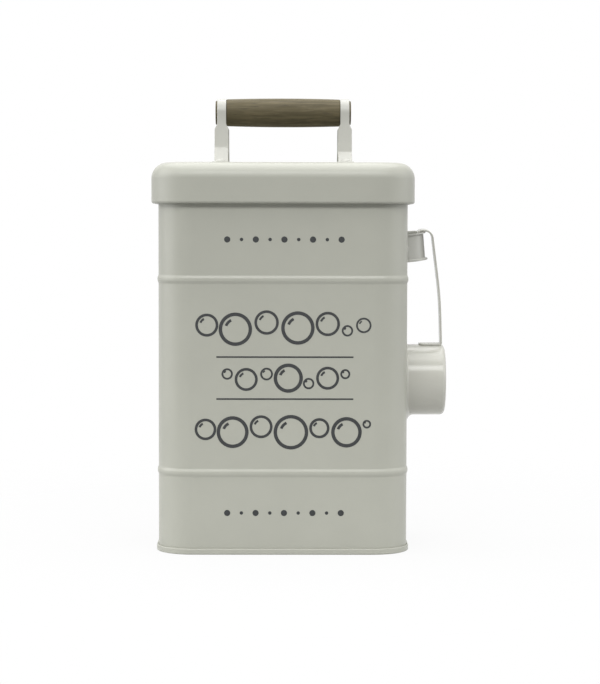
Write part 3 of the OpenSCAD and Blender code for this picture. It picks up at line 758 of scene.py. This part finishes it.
# Print on the front
def front_print():
    """Plain rules, dots and bubbles, printed in charcoal on the front wall."""
    bm = bmesh.new()
    face_y = -BODY_D / 2
    sunk, lift = 0.1, 0.06
    middle_x, dot_pitch, big_dot_r, small_dot_r = 1, 10.5, 2.3, 1.3
    rule_w, bold_w, plain_w, fine_w = 1.2, 2.6, 2, 1.4

    def plate(outline, holes=()):
        rings = [[Vector((x, face_y - depth, z)) for x, z in outline]
                 for depth in (-sunk, lift)]
        skin(bm, rings, True, False, True)

    def rule(x0, x1, z, h):
        plate([(x0, z - h / 2), (x1, z - h / 2), (x1, z + h / 2), (x0, z + h / 2)])

    def dot(x, z, r, n=28):
        plate([(x + r * math.cos(2 * math.pi * k / n), z + r * math.sin(2 * math.pi * k / n))
               for k in range(n)])

    def ring(x, z, r, w, n=72):
        for a0, a1, rr, ww in ((0, 360, r, w), (115, 160, 0.66 * r, 0.8 * w)):
            full = a1 - a0 == 360
            count = n if full else max(6, n // 6)
            rows = []
            for depth, rad in ((-sunk, rr - ww / 2), (lift, rr - ww / 2),
                               (lift, rr + ww / 2), (-sunk, rr + ww / 2)):
                row = []
                for k in range(count if full else count + 1):
                    a = math.radians(a0 + (a1 - a0) * k / count)
                    row.append(Vector((x + rad * math.cos(a), face_y - depth,
                                       z + rad * math.sin(a))))
                rows.append(row)
            if full:
                skin(bm, rows, True, True, False)
            else:
                skin(bm, [list(c) for c in zip(*rows)], True, False, True)

    for z in (233, 31):
        for k in range(-4, 5):
            dot(middle_x + k * dot_pitch, z, big_dot_r if k % 2 == 0 else small_dot_r)
    for z in (146.5, 115.5):
        rule(-49, 52, z, rule_w)
    upper = ((-56, 170, 7.5), (-35, 167, 11), (-12, 172, 8), (11, 168, 11),
             (33, 171, 8), (47.5, 166, 3.5), (59.5, 170, 5))
    middle = ((-41, 134, 3.5), (-27, 130, 7.5), (-12, 134, 4), (4, 131, 9.5),
              (19, 127, 3.5), (33, 131, 7.5), (46, 134, 3))
    lower = ((-57, 93, 7), (-37, 91, 10.5), (-16, 95, 7.5), (6, 91, 11.5),
             (27, 94, 6.5), (47, 91, 10), (62, 97, 2.5))
    for x, z, r in upper + middle + lower:
        ring(x, z, r, bold_w if r > 9 else plain_w if r > 5 else fine_w)
    return finish_mesh(bm, "front_print", "tin", charcoal, 30, ())


tin_body()
base_pan()
lid_shell()
handle_strap(-1, LEFT_KNEE_H, "strap_left", "handle_strap_left")
handle_strap(1, RIGHT_KNEE_H, "strap_right", "handle_strap_right")
wooden_grip()
rivets()
scoop_bracket()
scoop_cup()
scoop_handle()
front_print()


# Stage, light, camera
def seen_directly(tree):
    """1 for rays that show the stage itself, 0 for rays that only gather light."""
    path = node(tree, "ShaderNodeLightPath")
    first = node(tree, "ShaderNodeMath", {0: path.outputs["Is Camera Ray"],
                                          1: path.outputs["Is Glossy Ray"]}, operation="ADD")
    both = node(tree, "ShaderNodeMath", {0: first.outputs[0],
                                         1: path.outputs["Is Transmission Ray"]},
                operation="ADD", use_clamp=True)
    return both.outputs[0]


def mix_shader(tree, factor, a, b):
    made = node(tree, "ShaderNodeMixShader")
    for index, value in ((0, factor), (1, a), (2, b)):
        if isinstance(value, bpy.types.NodeSocket):
            tree.links.new(value, made.inputs[index])
        else:
            made.inputs[index].default_value = value
    return made.outputs[0]


def build_floor(colour, glow, near, far):
    """White paper under the caddy, which thins out into the white background."""
    mat = bpy.data.materials.new("floor")
    mat.use_nodes = True
    tree = mat.node_tree
    tree.nodes.clear()
    out = node(tree, "ShaderNodeOutputMaterial")
    paper = node(tree, "ShaderNodeBsdfDiffuse", {"Color": (*colour, 1)}).outputs[0]
    white = node(tree, "ShaderNodeEmission", {"Color": (1, 1, 1, 1), "Strength": 1}).outputs[0]
    clear = node(tree, "ShaderNodeBsdfTransparent").outputs[0]
    shown = mix_shader(tree, glow, paper, white)
    surface = mix_shader(tree, seen_directly(tree), paper, shown)
    place = node(tree, "ShaderNodeTexCoord").outputs["Object"]
    away = node(tree, "ShaderNodeVectorMath", {0: place}, operation="LENGTH").outputs["Value"]
    solid = map_range(tree, away, near, far, 1, 0)
    tree.links.new(mix_shader(tree, solid, clear, surface), out.inputs["Surface"])
    mesh = bpy.data.meshes.new("floor")
    mesh.from_pydata([(-far, -far, 0), (far, -far, 0), (far, far, 0), (-far, far, 0)], [],
                     [(0, 1, 2, 3)])
    floor = bpy.data.objects.new("floor", mesh)
    scene.collection.objects.link(floor)
    mesh.materials.append(mat)


def build_world(light, seen):
    world = bpy.data.worlds.new("studio")
    scene.world = world
    world.use_nodes = True
    tree = world.node_tree
    tree.nodes.clear()
    out = node(tree, "ShaderNodeOutputWorld")
    lit = node(tree, "ShaderNodeBackground", {"Color": (1, 1, 1, 1), "Strength": light})
    shown = node(tree, "ShaderNodeBackground", {"Color": (1, 1, 1, 1), "Strength": seen})
    tree.links.new(mix_shader(tree, seen_directly(tree), lit.outputs[0], shown.outputs[0]),
                   out.inputs["Surface"])


def soft_box(name, azimuth, elevation, distance, size, radiance):
    """A lamp that faces the caddy. Azimuth is counted from the front, leftwards positive."""
    target = Vector((0, -0.065, 0.2))
    a, e = math.radians(azimuth), math.radians(elevation)
    place = target + distance * Vector((-math.sin(a) * math.cos(e),
                                        -math.cos(a) * math.cos(e), math.sin(e)))
    lamp = bpy.data.lights.new(name, "AREA")
    lamp.shape = "RECTANGLE"
    lamp.size, lamp.size_y = size
    lamp.energy = radiance * math.pi * size[0] * size[1]
    obj = bpy.data.objects.new(name, lamp)
    scene.collection.objects.link(obj)
    obj.location = place
    obj.rotation_euler = (target - place).to_track_quat("-Z", "Y").to_euler()


CAMERA_OUT, CAMERA_UP = 1.580, 0.243
CAMERA_PITCH, CAMERA_ROLL, CAMERA_YAW, CAMERA_LENS = 3.223, -0.12, -0.469, 108.5


def build_camera():
    data = bpy.data.cameras.new("camera")
    camera = bpy.data.objects.new("camera", data)
    scene.collection.objects.link(camera)
    camera.location = (TIN_X * MM, -CAMERA_OUT, CAMERA_UP)
    camera.rotation_euler = (math.radians(90 - CAMERA_PITCH), math.radians(CAMERA_ROLL),
                             math.radians(CAMERA_YAW))
    data.lens = CAMERA_LENS
    data.clip_end = 60
    scene.camera = camera


build_floor((0.64, 0.64, 0.64), 0.9, 0.32, 0.64)
build_world(0.1, 1.0)
soft_box("front_box", 0, 41, 4, (6.4, 1.08), 6.2)
soft_box("strip_box", 0, 66, 3, (4.2, 0.45), 1.2)
soft_box("top_box", 0, 100, 2.2, (2.6, 2.6), 2.8)
soft_box("left_box", 88, 20, 3, (2.6, 2.6), 2.4)
soft_box("right_box", -88, 20, 3, (2.6, 2.6), 1.3)
build_camera()
scene.view_settings.view_transform = "Standard"
